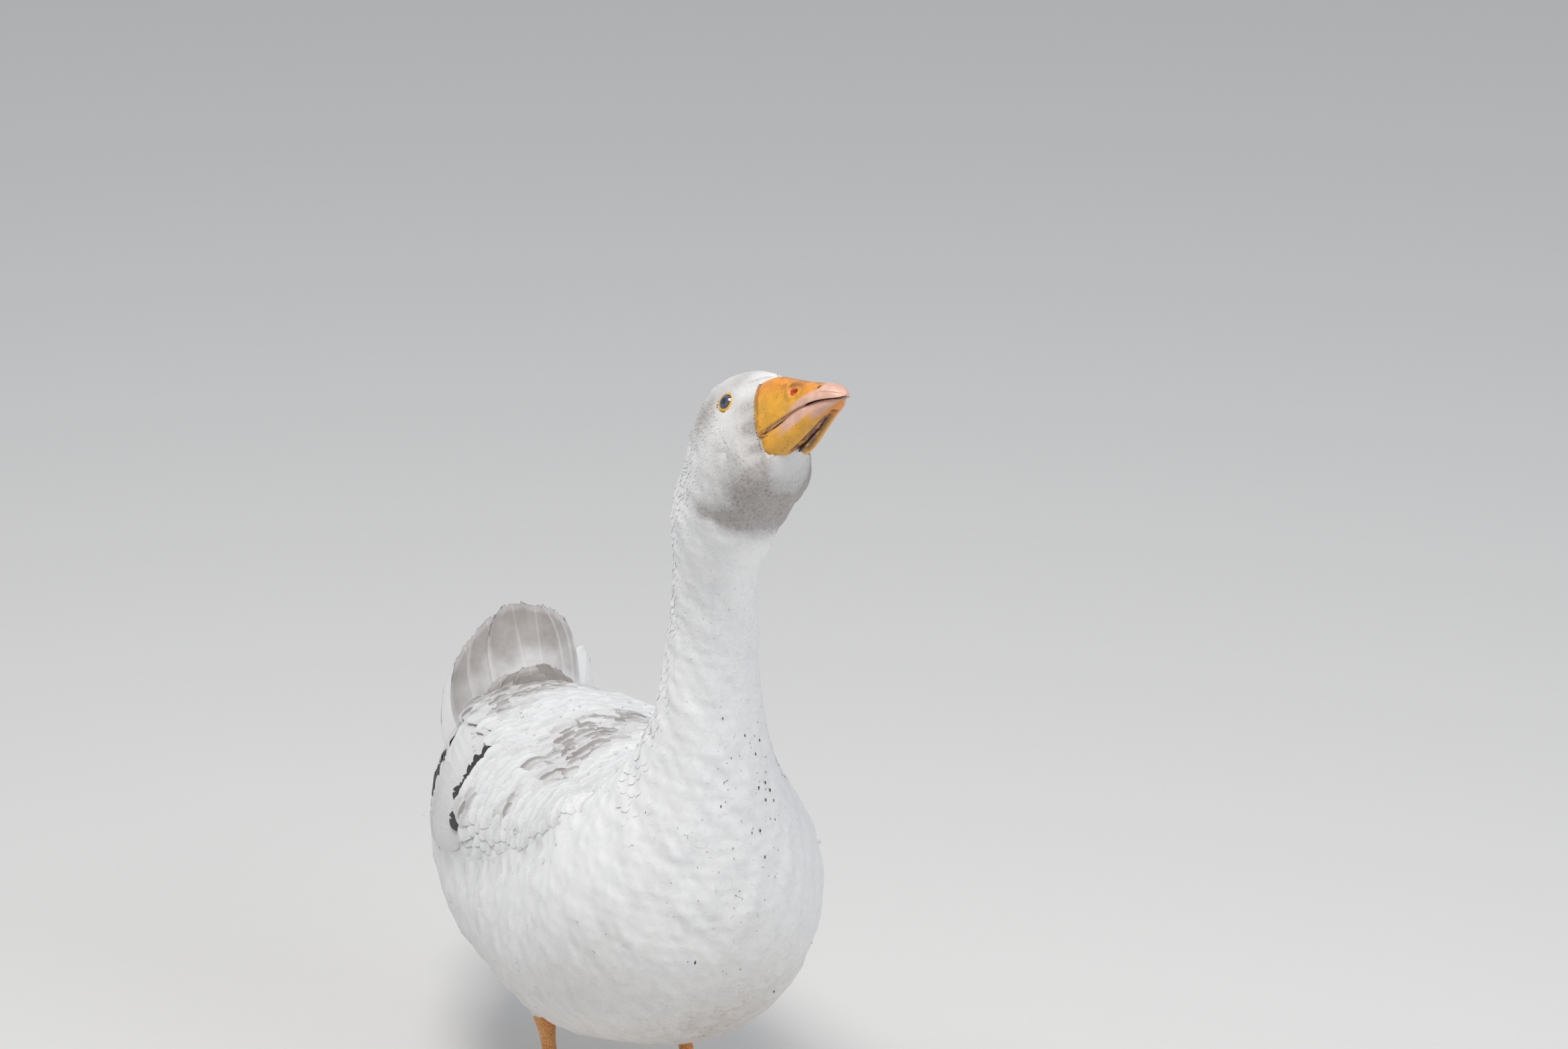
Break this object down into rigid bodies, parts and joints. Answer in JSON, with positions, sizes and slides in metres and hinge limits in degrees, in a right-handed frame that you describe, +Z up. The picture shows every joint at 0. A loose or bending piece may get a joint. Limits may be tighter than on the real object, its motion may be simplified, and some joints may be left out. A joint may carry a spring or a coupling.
{
  "type": "domestic goose",
  "caption": "Still, life-size domestic goose standing with neck raised, head turned to its left, wings folded and tail cocked.",
  "frame": {"origin": "on the floor, under the centre of the whole bird's box", "axes": "+Z up, -Y the way the body faces, +X the bird's left side"},
  "size_m": [0.2276, 0.5511, 0.6719],
  "materials": {
    "feathers_body": "soft white feathers, soiled grey-brown below and grey on the back",
    "feathers_neck": "short soft white feathers",
    "feathers_head": "very short white feathers with a grey tinge on the face",
    "feathers_wing": "white coverts with grey-brown marks",
    "feathers_tail": "stiff grey-brown feathers with white edges",
    "feathers_thigh": "soft white feathers",
    "bill": "satin orange horn with a pinkish nail",
    "eye": "wet blue-grey eye with a dark pupil",
    "leg": "scaly orange skin",
    "claw": "worn brown horn"
  },
  "bodies": {
    "root": {"trunk": "feathers_body", "neck_lower": "feathers_neck", "neck_upper": "feathers_neck", "head": "feathers_head", "bill_upper": "bill", "bill_lower": "bill", "eye_left": "eye", "eye_right": "eye", "wing_left": "feathers_wing", "wing_right": "feathers_wing", "tail": "feathers_tail", "thigh_left": "feathers_thigh", "thigh_right": "feathers_thigh", "shank_left": "leg", "shank_right": "leg", "foot_left": "leg", "foot_right": "leg", "hallux_left": "leg", "hallux_right": "leg", "claw_left_inner": "claw", "claw_left_middle": "claw", "claw_left_outer": "claw", "claw_left_hallux": "claw", "claw_right_inner": "claw", "claw_right_middle": "claw", "claw_right_outer": "claw", "claw_right_hallux": "claw"}
  },
  "joints": []
}
